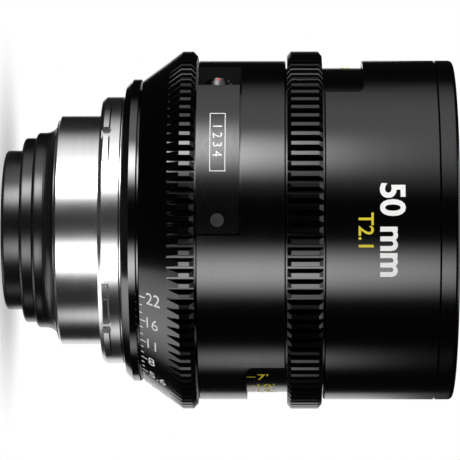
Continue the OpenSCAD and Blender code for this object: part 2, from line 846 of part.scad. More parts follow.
module data_socket_insert() {
    back = port_end_y + socket_len - socket_back_t;
    color(DARK) port_frame() difference() {
        along_plug(socket_body_r - socket_wall - seat_play, back - insert_len, back);
        at_contacts() along_plug(contact_r + seat_play, back - insert_len - over, back + over);
    }
}

// Places something at each of the four contacts, around the plug's axis
module at_contacts() {
    for (x = [-1, 1]) for (z = [-1, 1]) translate([x * contact_step, 0, z * contact_step]) children();
}

module data_contacts() {
    front = port_end_y + socket_len - socket_back_t - insert_len - contact_reach;
    color(BRASS) port_frame() at_contacts()
        along_plug(contact_r, front, port_end_y + socket_len + contact_tail);
}

module data_board() {
    inset = board_side_wall + board_side_gap;
    chip_w = 5;
    chip_t = 1;
    part_w = 2;
    part_t = 0.6;
    color(BOARD) port_frame() union() {
        translate([board_x, board_y, z_mid + inset]) cube([board_t, board_len, port_w - 2 * inset]);
        translate([board_x + board_t, board_y + board_len / 2 - chip_w / 2, port_z - chip_w / 2])
            cube([chip_t, chip_w, chip_w]);
        translate([board_x + board_t, board_y + board_len - 2 * part_w, port_z - part_w / 2])
            cube([part_t, part_w, part_w]);
    }
}

// Main barrel and focus mechanism

module main_barrel() {
    slot_r = follower_r + run_play;
    bore = iris_bore_r - iris_lip;
    z0 = z_mid + neck_seat_h + 2 * face_gap;
    floor_z = z_shoulder + main_floor_t;
    color(DARK) difference() {
        rotate_extrude() polygon([
            [bore, z0], [neck_seat_r, z0], [neck_seat_r, z_shoulder], [main_r, z_shoulder],
            [main_r, z_stop], [main_front_r, z_stop], [main_front_r, z_main_top],
            [main_bore_r, z_main_top], [main_bore_r, floor_z], [bore, floor_z]
        ]);
        rotate([0, 0, follower_angle]) translate([main_bore_r - over, -slot_r, z_follower])
            cube([main_t + 2 * over, 2 * slot_r, focus_travel]);
        for (z = [z_follower, z_follower + focus_travel])
            radial_pin(slot_r, follower_angle, z, main_bore_r - over, main_r + over);
    }
}

module focus_ring() {
    edge_r = tip_r - gear_bevel_w;
    color(BLACK) difference() {
        union() {
            translate([0, 0, z_drum]) cylinder(r = drum_r, h = z_drum_top - z_drum);
            intersection() {
                rotate_extrude() polygon([
                    [cam_r, z_gear], [edge_r, z_gear], [tip_r, z_gear + gear_bevel_h],
                    [tip_r, z_gear_top - gear_bevel_h], [edge_r, z_gear_top], [cam_r, z_gear_top]
                ]);
                gear_prism(z_gear - over, z_gear_top + over);
            }
        }
        translate([0, 0, z_drum - over])
            cylinder(r = cam_r + seat_play, h = z_drum_top - z_drum + 2 * over);
        at_focus_screws() focus_screw_hole();
    }
}

// Places something at each screw that fixes the cam inside the focus ring
module at_focus_screws() {
    for (a = [100, 220, 340]) rotate([0, 0, a]) translate([drum_r - face_gap, 0, focus_screw_z])
        rotate([0, 90, 0]) children();
}

module focus_screw_hole() {
    cylinder(r = focus_screw_r + seat_play, h = 2 * (drum_t + cam_t), center = true);
}

module focus_ring_screws() {
    color(STEEL) at_focus_screws() difference() {
        translate([0, 0, -focus_screw_len]) cylinder(r = focus_screw_r, h = focus_screw_len);
        hex_recess(small_hex_r, small_hex_depth);
    }
}

// The cam's slot climbs along the axis as it winds back around the sleeve
module cam_slot_cutter() {
    rate = focus_turn / focus_travel;
    reach = 2 * follower_slot_r;
    height = focus_travel + reach;
    sector = concat(
        arc_points(0, 0, main_r - over, 0, -rate * reach, 12),
        arc_points(0, 0, cam_r + 2 * over, -rate * reach, 0, 12)
    );
    end = asin(follower_slot_r / main_r);
    intersection() {
        translate([0, 0, z_follower - follower_slot_r]) rotate([0, 0, follower_angle + rate * reach])
            linear_extrude(height, twist = rate * height, slices = 48, $fn = 16) polygon(sector);
        ring_part(
            main_r - over / 2, cam_r + over, z_follower - reach, z_follower + height,
            follower_angle - focus_turn - end, follower_angle + end
        );
    }
}

module focus_cam() {
    color(DARK) difference() {
        ring(main_r + run_play, cam_r, z_drum, z_drum_top);
        cam_slot_cutter();
        at_focus_screws() focus_screw_hole();
    }
}

module focus_slide_rings() {
    bore = main_r + ring_gap;
    color(SLIDE) {
        ring(bore, drum_r, z_shoulder, z_shoulder + slide_ring_t);
        ring(bore, drum_r, z_stop - slide_ring_t, z_stop);
    }
}

module focus_cell() {
    out = main_bore_r - run_play;
    inner = out - cell_wall;
    bore = focus_glass_r + seat_play;
    hub = focus_glass_r + focus_hub_t;
    top = z_cell + cell_h;
    hub_top = z_focus_retainer_top + face_gap;
    lip_top = z_focus_hub + focus_lip_h;
    hole_r = follower_shank_r + seat_play;
    hole_end_r = main_bore_r - follower_shank_len - face_gap;
    color(BLACK) difference() {
        rotate_extrude() polygon([
            [out, z_cell], [out, top], [inner, top], [inner, z_follower + web_half],
            [hub, z_follower + web_half], [hub, hub_top], [bore, hub_top], [bore, lip_top],
            [focus_lip_r, lip_top], [focus_lip_r, z_focus_hub], [hub, z_focus_hub],
            [hub, z_follower - web_half], [inner, z_follower - web_half], [inner, z_cell]
        ]);
        radial_pin(hole_r, follower_angle, z_follower, hole_end_r, out + over);
    }
}

// The follower: a shank in the focus cell and a wider roller in the barrel's and cam's slots
module focus_follower() {
    color(BRASS) {
        radial_pin(follower_shank_r, follower_angle, z_follower, main_bore_r - follower_shank_len, main_r);
        radial_pin(follower_r, follower_angle, z_follower, main_bore_r, cam_r - face_gap);
    }
}

module focus_doublet() {
    joint = z_focus_pair + focus_pair_t;
    front = z_focus_pair_top - focus_pair_front_t;
    color(GLASS) {
        glass(focus_glass_r, z_focus_pair, joint, focus_pair_sag, -focus_pair_bulge);
        glass(focus_glass_r, front, z_focus_pair_top, focus_pair_bulge, focus_pair_bulge);
    }
}

module focus_retainer() {
    inner = focus_glass_r - retainer_lip;
    top = z_focus_retainer_top;
    color(BLACK) retaining_ring(focus_glass_r, inner, z_focus_pair_top, focus_pair_bulge, top);
}

// Front barrel and front optics

module front_barrel() {
    edge = barrel_edge;
    spigot_bore = spigot_r + seat_play;
    cell_bore = cell_r + seat_play;
    main_bore = main_front_r + seat_play;
    color(BLACK) difference() {
        rotate_extrude() polygon([
            [shell_bore_r, z_front], [barrel_r - edge, z_front], [barrel_r, z_front + edge],
            [barrel_r, z_front_top - front_groove_h], [barrel_r - front_groove_w, z_front_top],
            [spigot_bore, z_front_top], [spigot_bore, z_spigot], [cell_bore, z_spigot],
            [cell_bore, z_flange_top], [main_bore, z_flange_top], [main_bore, z_stop],
            [shell_bore_r, z_stop]
        ]);
        window_cutter(z_front, z_front + window_h, 180);
    }
}

module barrel_lock_ring() {
    out = cell_r - front_cell_t - ring_gap;
    slot_w = 2.4;
    slot_depth = 1.3;
    top = z_flange_top + lock_ring_h;
    color(DARK) difference() {
        ring(main_front_r + seat_play, out, z_flange_top, top);
        for (a = [0:90:270]) rotate([0, 0, a]) translate([out - slot_depth, -slot_w / 2, top - slot_depth])
            cube([slot_depth + over, slot_w, slot_depth + over]);
    }
}

module second_cell() {
    out = main_bore_r - seat_play;
    bore = second_glass_r + seat_play;
    z0 = z_stop - second_lip_h;
    top = z_main_top - main_proud;
    color(BLACK) rotate_extrude() polygon([
        [second_lip_r, z0], [out, z0], [out, top], [bore, top], [bore, z_stop], [second_lip_r, z_stop]
    ]);
}

module second_element() {
    color(GLASS)
        glass(second_glass_r, z_second_glass, z_second_glass_top, -second_glass_dip, second_glass_sag);
}

module second_retainer() {
    inner = second_glass_r - retainer_lip;
    top = z_second_glass_top + retainer_rise;
    color(BLACK) retaining_ring(second_glass_r, inner, z_second_glass_top, second_glass_sag, top);
}

module front_cell() {
    skirt = cell_r - front_cell_t;
    rebate = cell_r - front_rebate;
    bore = front_glass_r + seat_play;
    lip = front_glass_r - front_glass_lip;
    top = z_thread - face_gap;
    color(BLACK) rotate_extrude() polygon([
        [skirt, z_flange_top], [cell_r, z_flange_top], [cell_r, top], [rebate, top],
        [rebate, z_front_shelf], [bore, z_front_shelf], [bore, z_front_glass], [lip, z_front_glass],
        [lip, z_front_floor], [skirt, z_front_floor]
    ]);
}

module front_element() {
    z0 = z_front_glass + face_gap;
    color(GLASS) glass(front_glass_r, z0, z_front_glass_top, -front_glass_dip, front_glass_sag);
}

module front_retainer() {
    inner = front_glass_r - front_glass_lip;
    out = cell_r - front_rebate - seat_play;
    top = z_thread - 2 * face_gap;
    low = z_front_glass_top - cap_drop(front_glass_r, front_glass_sag, inner) + cement_t;
    shelf = z_front_shelf + face_gap;
    bevel = 0.65;
    slot_w = 2;
    slot_depth = 0.9;
    color(BLACK) difference() {
        rotate_extrude() polygon([
            [inner, low], [front_glass_r, low], [front_glass_r, shelf], [out, shelf],
            [out, top], [out - bevel, top]
        ]);
        for (a = [0, 180]) rotate([0, 0, a]) translate([front_glass_r, -slot_w / 2, top - slot_depth])
            cube([cell_r - front_glass_r, slot_w, slot_depth + over]);
    }
}

module front_ring() {
    round_r = 1;
    bore = cell_r + face_gap;
    z0 = z_spigot + face_gap;
    edge = barrel_edge;
    color(BLACK) rotate_extrude() polygon(concat(
        [[bore, z0], [spigot_r, z0], [spigot_r, z_front_top]],
        [[barrel_r - front_groove_w, z_front_top], [barrel_r, z_front_top + front_groove_h]],
        arc_points(barrel_r - round_r, z_rim - round_r, round_r, 0, 90),
        [[thread_r + edge, z_rim], [thread_r, z_rim - edge], [thread_r, z_thread], [bore, z_thread]]
    ));
}

// One line per node
pl_mount();
mount_screws();
mount_shim();
rear_baffle();
rear_element();
rear_retainer();
rear_cell();
rear_doublet();
rear_lock_ring();
rear_barrel();
iris_ring();
iris_drive_screw();
iris_base();
iris_actuator();
iris_cover();
for (i = [1:BLADES]) iris_blade(i);
middle_barrel();
data_cover();
data_cover_screw();
data_socket_shell();
data_socket_insert();
data_contacts();
data_board();
main_barrel();
focus_ring();
focus_cam();
focus_ring_screws();
focus_slide_rings();
focus_cell();
focus_follower();
focus_doublet();
focus_retainer();
front_barrel();
barrel_lock_ring();
second_cell();
second_element();
second_retainer();
front_cell();
front_element();
front_retainer();
front_ring();
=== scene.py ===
"""Looks of a cinema prime lens: finishes, scale markings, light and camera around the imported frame.

Metres, in the frame of the part: +Z is the optical axis, -Y the top of the lens and the camera's side.
Angles around the axis are turns from -Y toward +X, in degrees.
"""

import json
import math

import bmesh
import bpy
from mathutils import Matrix, Vector


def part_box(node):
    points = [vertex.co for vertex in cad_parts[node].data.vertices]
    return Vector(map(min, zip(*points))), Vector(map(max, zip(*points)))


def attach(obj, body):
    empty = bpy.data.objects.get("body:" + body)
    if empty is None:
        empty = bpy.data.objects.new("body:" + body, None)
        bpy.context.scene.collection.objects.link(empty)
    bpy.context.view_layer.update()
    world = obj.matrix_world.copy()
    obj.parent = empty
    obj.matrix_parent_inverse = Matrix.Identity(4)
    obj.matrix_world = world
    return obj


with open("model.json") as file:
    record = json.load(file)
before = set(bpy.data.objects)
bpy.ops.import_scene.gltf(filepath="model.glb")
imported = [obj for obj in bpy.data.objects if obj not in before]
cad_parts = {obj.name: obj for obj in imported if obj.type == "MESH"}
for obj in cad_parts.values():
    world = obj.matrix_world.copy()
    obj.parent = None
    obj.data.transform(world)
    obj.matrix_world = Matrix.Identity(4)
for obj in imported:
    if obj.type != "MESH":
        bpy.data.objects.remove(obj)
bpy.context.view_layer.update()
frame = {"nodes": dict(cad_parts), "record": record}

MM = 0.001

# Sizes read from the frame
BARREL_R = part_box("front_barrel")[1].x
INDEX_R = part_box("rear_barrel")[1].x
GEAR_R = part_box("iris_ring")[1].x
IRIS_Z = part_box("iris_ring")[0].z
INDEX_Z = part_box("rear_barrel")[0].z
MIDDLE_TOP_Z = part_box("middle_barrel")[1].z
DRUM_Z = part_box("focus_ring")[0].z
DRUM_TOP_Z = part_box("focus_ring")[1].z
FRONT_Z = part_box("front_barrel")[0].z
FLOOR_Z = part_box("rear_baffle")[0].z

# Sizes of the scale surfaces, as in the part's source
DRUM_R = BARREL_R - 1.7 * MM
CONE_R = INDEX_R - 0.2 * MM
CONE_START_Z = IRIS_Z + 0.2 * MM
CONE_END_Z = IRIS_Z + 9.4 * MM
THREAD_R = BARREL_R - 1.9 * MM
THREAD_PITCH = 0.75 * MM

# Data port: the angle of its middle, the direction out through it and the one against the plug
PORT_ANGLE = -26
PORT_OUT = Vector((math.cos(math.radians(-116)), math.sin(math.radians(-116)), 0))
PORT_IN = Vector((-PORT_OUT.y, PORT_OUT.x, 0))
PORT_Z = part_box("data_cover")[0].z + 4.9 * MM
COVER_HALF = math.radians(27.2)
COVER_SWELL = 1.6 * MM
COVER_R = BARREL_R + 4.2 * MM
SOCKET_X = 32.6 * MM
SOCKET_BODY_R = 3.1 * MM
SOCKET_DOT_Y = -20.88 * MM
CHANNEL_FLOOR_X = 30 * MM

# Paint stands a little proud of what it is on, and reaches a little into it
PAINT_LIFT = 0.03 * MM
PAINT_SINK = 0.03 * MM
BEND_STEP = 0.6 * MM
DOT_SIDES = 32

# How far a letter's outline is pushed out to make its strokes heavier
THIN = 0.001
HEAVY = 0.012
BOLD = 0.028


# Node helpers

def add_node(tree, kind, **values):
    """A node of that kind. A value names one of its settings or, with in_ before it, one of its sockets."""
    made = tree.nodes.new(kind)
    for name, value in values.items():
        if name.startswith("in_"):
            socket = name[3:]
            made.inputs[int(socket) if socket.isdigit() else socket].default_value = value
        else:
            setattr(made, name, value)
    return made


def join(tree, source, target):
    tree.links.new(source, target)


def new_material(name, colour, metallic, roughness):
    """A material with a Principled shader, and that shader's node."""
    made = bpy.data.materials.new(name)
    made.use_nodes = True
    shader = made.node_tree.nodes["Principled BSDF"]
    shader.inputs["Base Color"].default_value = (*colour, 1)
    shader.inputs["Metallic"].default_value = metallic
    shader.inputs["Roughness"].default_value = roughness
    return made, shader


def object_place(tree):
    return add_node(tree, "ShaderNodeTexCoord").outputs["Object"]


def turned_place(tree):
    """Distance from the optical axis and place along it: what stays the same around a turned surface."""
    place = add_node(tree, "ShaderNodeSeparateXYZ")
    join(tree, object_place(tree), place.inputs[0])
    flat = add_node(tree, "ShaderNodeCombineXYZ")
    join(tree, place.outputs["X"], flat.inputs["X"])
    join(tree, place.outputs["Y"], flat.inputs["Y"])
    radius = add_node(tree, "ShaderNodeVectorMath", operation="LENGTH")
    join(tree, flat.outputs[0], radius.inputs[0])
    made = add_node(tree, "ShaderNodeCombineXYZ")
    join(tree, radius.outputs["Value"], made.inputs["X"])
    join(tree, place.outputs["Z"], made.inputs["Z"])
    return made.outputs[0]


def noise(tree, place, size, detail=3.0, roughness=0.55):
    """Noise whose patches are about that size."""
    made = add_node(tree, "ShaderNodeTexNoise", in_Scale=1 / size, in_Detail=detail, in_Roughness=roughness)
    join(tree, place, made.inputs["Vector"])
    return made.outputs["Fac"]


def spread(tree, value, low, high, start=0.3, end=0.7):
    """A noise value stretched to a range."""
    made = add_node(tree, "ShaderNodeMapRange", in_1=start, in_2=end, in_3=low, in_4=high)
    join(tree, value, made.inputs[0])
    return made.outputs[0]


def mix_colours(tree, share, first, second):
    made = add_node(tree, "ShaderNodeMix", data_type="RGBA")
    made.inputs["A"].default_value = (*first, 1)
    made.inputs["B"].default_value = (*second, 1)
    join(tree, share, made.inputs["Factor"])
    return made.outputs["Result"]


def bump(tree, height, depth, strength, before=None):
    made = add_node(tree, "ShaderNodeBump", in_Strength=strength, in_Distance=depth)
    join(tree, height, made.inputs["Height"])
    if before is not None:
        join(tree, before, made.inputs["Normal"])
    return made.outputs["Normal"]


def edge_share(tree, radius):
    """Near 1 along edges and 0 on open faces."""
    rounded = add_node(tree, "ShaderNodeBevel", samples=4, in_Radius=radius)
    surface = add_node(tree, "ShaderNodeNewGeometry")
    meet = add_node(tree, "ShaderNodeVectorMath", operation="DOT_PRODUCT")
    join(tree, rounded.outputs["Normal"], meet.inputs[0])
    join(tree, surface.outputs["Normal"], meet.inputs[1])
    return spread(tree, meet.outputs["Value"], 1.0, 0.0, 0.85, 0.995)


def lay_round(tree, shader, amount):
    """Turning marks run around the axis, so a highlight stretches along it."""
    shader.inputs["Anisotropic"].default_value = amount
    shader.inputs["Anisotropic Rotation"].default_value = 0.25
    around = add_node(tree, "ShaderNodeTangent", direction_type="RADIAL", axis="Z")
    join(tree, around.outputs["Tangent"], shader.inputs["Tangent"])


# Sizes of the grain in the finishes

TURNING_LINE = 0.09 * MM
STEEL_LINE = 0.07 * MM
SCREW_LINE = 0.12 * MM
FINE_GRAIN = 0.07 * MM
COARSE_GRAIN = 0.12 * MM
MOULD_GRAIN = 0.15 * MM
PAINT_GRAIN = 0.2 * MM
DYE_CLOUD = 4 * MM
SMEAR = 6 * MM
STREAK = 0.12 * MM
STREAK_SQUEEZE = 0.04
DUST = 0.8 * MM
WORN_EDGE = 0.12 * MM
LINE_DEPTH = 0.004 * MM
STREAK_DEPTH = 0.006 * MM
GRAIN_DEPTH = 0.01 * MM


# Materials

def anodised(name, colour, worn, roughness, grain, line_strength=0.06):
    """Dyed aluminium: fine turning lines, a blasted grain, cloudy dye and slightly rubbed edges."""
    made, shader = new_material(name, colour, 0.0, roughness)
    tree = made.node_tree
    lines = noise(tree, turned_place(tree), TURNING_LINE, 4.0)
    cloud = noise(tree, object_place(tree), DYE_CLOUD, 5.0)
    speck = noise(tree, object_place(tree), grain, 2.0)
    dye = mix_colours(tree, spread(tree, cloud, 0, 1), colour, tuple(1.5 * c for c in colour))
    rub = add_node(tree, "ShaderNodeMath", operation="MULTIPLY")
    join(tree, edge_share(tree, WORN_EDGE), rub.inputs[0])
    join(tree, spread(tree, cloud, 0.25, 1.0), rub.inputs[1])
    skin = add_node(tree, "ShaderNodeMix", data_type="RGBA")
    skin.inputs["B"].default_value = (*worn, 1)
    join(tree, rub.outputs[0], skin.inputs["Factor"])
    join(tree, dye, skin.inputs["A"])
    join(tree, skin.outputs["Result"], shader.inputs["Base Color"])
    join(tree, spread(tree, lines, 0.85 * roughness, 1.2 * roughness), shader.inputs["Roughness"])
    blasted = bump(tree, speck, LINE_DEPTH, 0.12)
    join(tree, bump(tree, lines, LINE_DEPTH, line_strength, blasted), shader.inputs["Normal"])
    lay_round(tree, shader, 0.1)
    return made


def turned_steel(name, colour, roughness, line=STEEL_LINE):
    """Stainless steel with lathe lines and faint smears."""
    made, shader = new_material(name, colour, 1.0, roughness)
    tree = made.node_tree
    lines = noise(tree, turned_place(tree), line, 5.0)
    smear = noise(tree, object_place(tree), SMEAR, 4.0)
    tone = mix_colours(tree, spread(tree, lines, 0, 1), tuple(0.86 * c for c in colour), colour)
    join(tree, tone, shader.inputs["Base Color"])
    join(tree, spread(tree, smear, 0.95 * roughness, 1.08 * roughness), shader.inputs["Roughness"])
    join(tree, bump(tree, lines, LINE_DEPTH, 0.1), shader.inputs["Normal"])
    lay_round(tree, shader, 0.15)
    return made


def brushed_cover(name, colour):
    """Black aluminium brushed around the barrel, with streaks of different length."""
    made, shader = new_material(name, colour, 0.0, 0.24)
    tree = made.node_tree
    stretch = add_node(tree, "ShaderNodeMapping", vector_type="POINT")
    stretch.inputs["Scale"].default_value = (STREAK_SQUEEZE, STREAK_SQUEEZE, 1)
    join(tree, object_place(tree), stretch.inputs["Vector"])
    streaks = noise(tree, stretch.outputs[0], STREAK, 6.0, 0.7)
    tone = mix_colours(tree, spread(tree, streaks, 0, 1), colour, tuple(2.2 * c for c in colour))
    join(tree, tone, shader.inputs["Base Color"])
    join(tree, spread(tree, streaks, 0.15, 0.3), shader.inputs["Roughness"])
    join(tree, bump(tree, streaks, STREAK_DEPTH, 0.25), shader.inputs["Normal"])
    lay_round(tree, shader, 0.5)
    return made


def threaded_rim(name, colour, worn, roughness):
    """The shell's finish, with a fine thread on the wall inside the front opening."""
    made = anodised(name, colour, worn, roughness, FINE_GRAIN)
    tree = made.node_tree
    shader = tree.nodes["Principled BSDF"]
    place = add_node(tree, "ShaderNodeSeparateXYZ")
    join(tree, object_place(tree), place.inputs[0])
    turn = add_node(tree, "ShaderNodeMath", operation="ARCTAN2")
    join(tree, place.outputs["Y"], turn.inputs[0])
    join(tree, place.outputs["X"], turn.inputs[1])
    lead = add_node(tree, "ShaderNodeMath", operation="MULTIPLY_ADD", in_1=THREAD_PITCH / math.tau)
    join(tree, turn.outputs[0], lead.inputs[0])
    join(tree, place.outputs["Z"], lead.inputs[2])
    tooth = add_node(tree, "ShaderNodeMath", operation="PINGPONG", in_1=THREAD_PITCH / 2)
    join(tree, lead.outputs[0], tooth.inputs[0])
    radius = add_node(tree, "ShaderNodeSeparateXYZ")
    join(tree, turned_place(tree), radius.inputs[0])
    inside = add_node(tree, "ShaderNodeMath", operation="LESS_THAN", in_1=THREAD_R + 0.1 * MM)
    join(tree, radius.outputs["X"], inside.inputs[0])
    height = add_node(tree, "ShaderNodeMath", operation="MULTIPLY")
    join(tree, tooth.outputs[0], height.inputs[0])
    join(tree, inside.outputs[0], height.inputs[1])
    cut = add_node(tree, "ShaderNodeBump", in_Strength=1.0, in_Distance=1.0)
    join(tree, height.outputs[0], cut.inputs["Height"])
    join(tree, shader.inputs["Normal"].links[0].from_socket, cut.inputs["Normal"])
    join(tree, cut.outputs["Normal"], shader.inputs["Normal"])
    return made


def coated_glass(name):
    """Clear glass with a coating that weakens and tints what it mirrors."""
    made, shader = new_material(name, (0.97, 0.985, 1.0), 0.0, 0.01)
    tree = made.node_tree
    shader.inputs["IOR"].default_value = 1.55
    shader.inputs["Transmission Weight"].default_value = 1.0
    shader.inputs["Specular Tint"].default_value = (0.035, 0.075, 0.06, 1)
    dust = noise(tree, object_place(tree), DUST, 6.0)
    join(tree, spread(tree, dust, 0.004, 0.022), shader.inputs["Roughness"])
    return made


def moulded(name, colour, roughness):
    """Moulded plastic or solder mask with a soft grain."""
    made, shader = new_material(name, colour, 0.0, roughness)
    tree = made.node_tree
    grain = noise(tree, object_place(tree), MOULD_GRAIN, 3.0)
    tone = mix_colours(tree, spread(tree, grain, 0, 1), tuple(0.85 * c for c in colour), colour)
    join(tree, tone, shader.inputs["Base Color"])
    join(tree, bump(tree, grain, GRAIN_DEPTH, 0.15), shader.inputs["Normal"])
    return made


def paint(name, colour):
    """Engraving paint: slightly uneven, with a dry surface."""
    made, shader = new_material(name, colour, 0.0, 0.5)
    tree = made.node_tree
    cover = noise(tree, object_place(tree), PAINT_GRAIN, 4.0)
    tone = mix_colours(tree, spread(tree, cover, 0, 1), tuple(0.86 * c for c in colour), colour)
    join(tree, tone, shader.inputs["Base Color"])
    join(tree, bump(tree, cover, GRAIN_DEPTH, 0.2), shader.inputs["Normal"])
    return made


BLACK = (0.0004, 0.0004, 0.00042)
RUBBED = (0.02, 0.02, 0.021)
materials = {
    "mount_steel": turned_steel("mount_steel", (0.68, 0.68, 0.69), 0.23),
    "screw_steel": turned_steel("screw_steel", (0.2, 0.2, 0.205), 0.3, SCREW_LINE),
    "socket_steel": turned_steel("socket_steel", (0.05, 0.05, 0.052), 0.25),
    "baffle_black": anodised("baffle_black", (0.002, 0.002, 0.0021), RUBBED, 0.25, COARSE_GRAIN),
    "shell_black": anodised("shell_black", BLACK, RUBBED, 0.16, FINE_GRAIN),
    "cover_black": brushed_cover("cover_black", (0.0012, 0.0012, 0.0013)),
    "ring_black": anodised("ring_black", BLACK, RUBBED, 0.16, FINE_GRAIN),
    "inner_black": anodised("inner_black", (0.012, 0.012, 0.0125), RUBBED, 0.5, COARSE_GRAIN),
    "blade_steel": turned_steel("blade_steel", (0.16, 0.16, 0.17), 0.45),
    "coated_glass": coated_glass("coated_glass"),
    "pin_brass": turned_steel("pin_brass", (0.78, 0.6, 0.28), 0.22),
    "slide_plastic": moulded("slide_plastic", (0.75, 0.72, 0.66), 0.45),
    "insert_plastic": moulded("insert_plastic", (0.02, 0.02, 0.021), 0.4),
    "board_green": moulded("board_green", (0.02, 0.14, 0.05), 0.35),
}
rim_material = threaded_rim("rim_black", BLACK, RUBBED, 0.16)
index_material = anodised("index_black", BLACK, RUBBED, 0.12, FINE_GRAIN)
index_material.node_tree.nodes["Principled BSDF"].inputs["IOR"].default_value = 1.75
materials["baffle_black"].node_tree.nodes["Principled BSDF"].inputs["IOR"].default_value = 1.6
matt_material = moulded("matt_black", (0.003, 0.003, 0.003), 0.7)
matt_material.node_tree.nodes["Principled BSDF"].inputs["Specular IOR Level"].default_value = 0.05
white_paint = paint("white_paint", (0.95, 0.95, 0.93))
yellow_paint = paint("yellow_paint", (0.72, 0.6, 0.02))
red_paint = paint("red_paint", (0.6, 0.03, 0.02))


def dress_nodes():
    """Gives each node the material of its slot, and a few their own."""
    for part in frame["record"]["subparts"]:
        slots = frame["nodes"][part["node"]].data.materials
        slots.clear()
        slots.append(materials[part["material_slot"]])
    frame["nodes"]["front_ring"].data.materials[0] = rim_material
    frame["nodes"]["rear_barrel"].data.materials[0] = index_material


def matt_channel():
    """Leaves the floor of the plug's channel matt."""
    shell = frame["nodes"]["middle_barrel"].data
    shell.materials.append(matt_material)
    for face in shell.polygons:
        if face.normal.dot(PORT_OUT) > 0.99 and face.center.dot(PORT_OUT) < CHANNEL_FLOOR_X:
            face.material_index = 1


dress_nodes()
matt_channel()


# Markings: flat shapes that are bent onto the part

def turn_of(angle):
    """The direction at an angle around the axis, from -Y toward +X."""
    return Vector((math.sin(math.radians(angle)), -math.cos(math.radians(angle)), 0))


def on_cone(angle, turned_over=False):
    """Bends a flat shape onto the iris cone: x up the slope and y toward smaller angles, or both back."""
    slope = Vector((GEAR_R - CONE_R, CONE_END_Z - CONE_START_Z)).normalized()
    sign = -1 if turned_over else 1

    def place(x, y, lift):
        radius = CONE_R + sign * x * slope.x
        out = turn_of(angle - sign * math.degrees(y / radius))
        along = CONE_START_Z + sign * x * slope.y
        return out * (radius + lift * slope.y) + Vector((0, 0, along - lift * slope.x))

    return place


def on_drum(angle, radius, start_z, turned_over=False):
    """The same on a cylinder, where x starts at start_z."""
    sign = -1 if turned_over else 1

    def place(x, y, lift):
        out = turn_of(angle - sign * math.degrees(y / radius))
        return out * (radius + lift) + Vector((0, 0, start_z + sign * x))

    return place


def around_barrel(angle, radius, middle_z, centre=Vector((0, 0, 0))):
    """On a cylinder around centre: x runs around it toward larger angles, y along the axis."""

    def place(x, y, lift):
        out = turn_of(angle + math.degrees(x / radius)) * (radius + lift)
        return centre + out + Vector((0, 0, middle_z + y))

    return place


def on_socket(along):
    """On the socket's body, whose axis runs along the port: x runs along it, y around it."""

    def place(x, y, lift):
        turn = y / SOCKET_BODY_R
        out = PORT_OUT * math.cos(turn) + Vector((0, 0, math.sin(turn)))
        axis = PORT_OUT * SOCKET_X + PORT_IN * (along + x) + Vector((0, 0, PORT_Z))
        return axis + out * (SOCKET_BODY_R + lift)

    return place


class Marking:
    """Paint shapes that make one piece."""

    def __init__(self):
        self.mesh = bmesh.new()

    def add(self, flat, place):
        """Adds a flat mesh, bent by place, as a thin closed plate."""
        xs = [v.co.x for v in flat.verts]
        ys = [v.co.y for v in flat.verts]
        for values, normal in ((xs, Vector((1, 0, 0))), (ys, Vector((0, 1, 0)))):
            low, high = min(values), max(values)
            for i in range(1, int((high - low) / BEND_STEP) + 1):
                cut = normal * (low + i * BEND_STEP)
                everything = flat.verts[:] + flat.edges[:] + flat.faces[:]
                bmesh.ops.bisect_plane(flat, geom=everything, plane_co=cut, plane_no=normal)
        top = {v: self.mesh.verts.new(place(v.co.x, v.co.y, PAINT_LIFT)) for v in flat.verts}
        low = {v: self.mesh.verts.new(place(v.co.x, v.co.y, -PAINT_SINK)) for v in flat.verts}
        for face in flat.faces:
            self.mesh.faces.new([top[v] for v in face.verts])
            self.mesh.faces.new([low[v] for v in reversed(face.verts)])
        for edge in flat.edges:
            if edge.is_boundary:
                a, b = edge.verts
                self.mesh.faces.new([top[a], top[b], low[b], low[a]])
        flat.free()

    def bar(self, x0, x1, width, place, y=0.0):
        flat = bmesh.new()
        corners = [(x0, y - width / 2), (x1, y - width / 2), (x1, y + width / 2), (x0, y + width / 2)]
        flat.faces.new([flat.verts.new((a, b, 0)) for a, b in corners])
        self.add(flat, place)

    def box(self, length, height, line, place):
        """A drawn frame around the middle."""
        for side in (-1, 1):
            self.bar(-length / 2, length / 2, line, place, side * (height - line) / 2)
            end = side * (length - line) / 2
            self.bar(end - line / 2, end + line / 2, height - 2 * line, place)

    def dot(self, radius, place):
        flat = bmesh.new()
        bmesh.ops.create_circle(flat, cap_ends=True, radius=radius, segments=DOT_SIDES)
        self.add(flat, place)

    def text(self, words, height, start, place, bold=THIN, anchor=0.0):
        self.add(flat_text(words, height, start, bold, anchor), place)

    def piece(self, name, body, material):
        bmesh.ops.recalc_face_normals(self.mesh, faces=self.mesh.faces[:])
        data = bpy.data.meshes.new(name)
        self.mesh.to_mesh(data)
        self.mesh.free()
        data.materials.append(material)
        made = bpy.data.objects.new(name, data)
        bpy.context.scene.collection.objects.link(made)
        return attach(made, body)


def flat_text(words, height, start, bold, anchor):
    """A filled outline of the words, whose figures have that height; anchor is their share before start."""
    curve = bpy.data.curves.new("words", "FONT")
    curve.body = words
    curve.resolution_u = 4
    curve.offset = bold
    holder = bpy.data.objects.new("words", curve)
    bpy.context.scene.collection.objects.link(holder)
    bpy.context.view_layer.update()
    shown = holder.evaluated_get(bpy.context.evaluated_depsgraph_get())
    data = bpy.data.meshes.new_from_object(shown)
    bpy.data.objects.remove(holder)
    bpy.data.curves.remove(curve)
    flat = bmesh.new()
    flat.from_mesh(data)
    bpy.data.meshes.remove(data)
    bmesh.ops.remove_doubles(flat, verts=flat.verts[:], dist=1e-5)
    low = min(v.co.x for v in flat.verts)
    high = max(v.co.x for v in flat.verts)
    origin = low + anchor * (high - low)
    scale = height / FIGURE_HEIGHT
    for v in flat.verts:
        v.co.x = start + (v.co.x - origin) * scale
        v.co.y = (v.co.y - FIGURE_HEIGHT / 2) * scale
    return flat


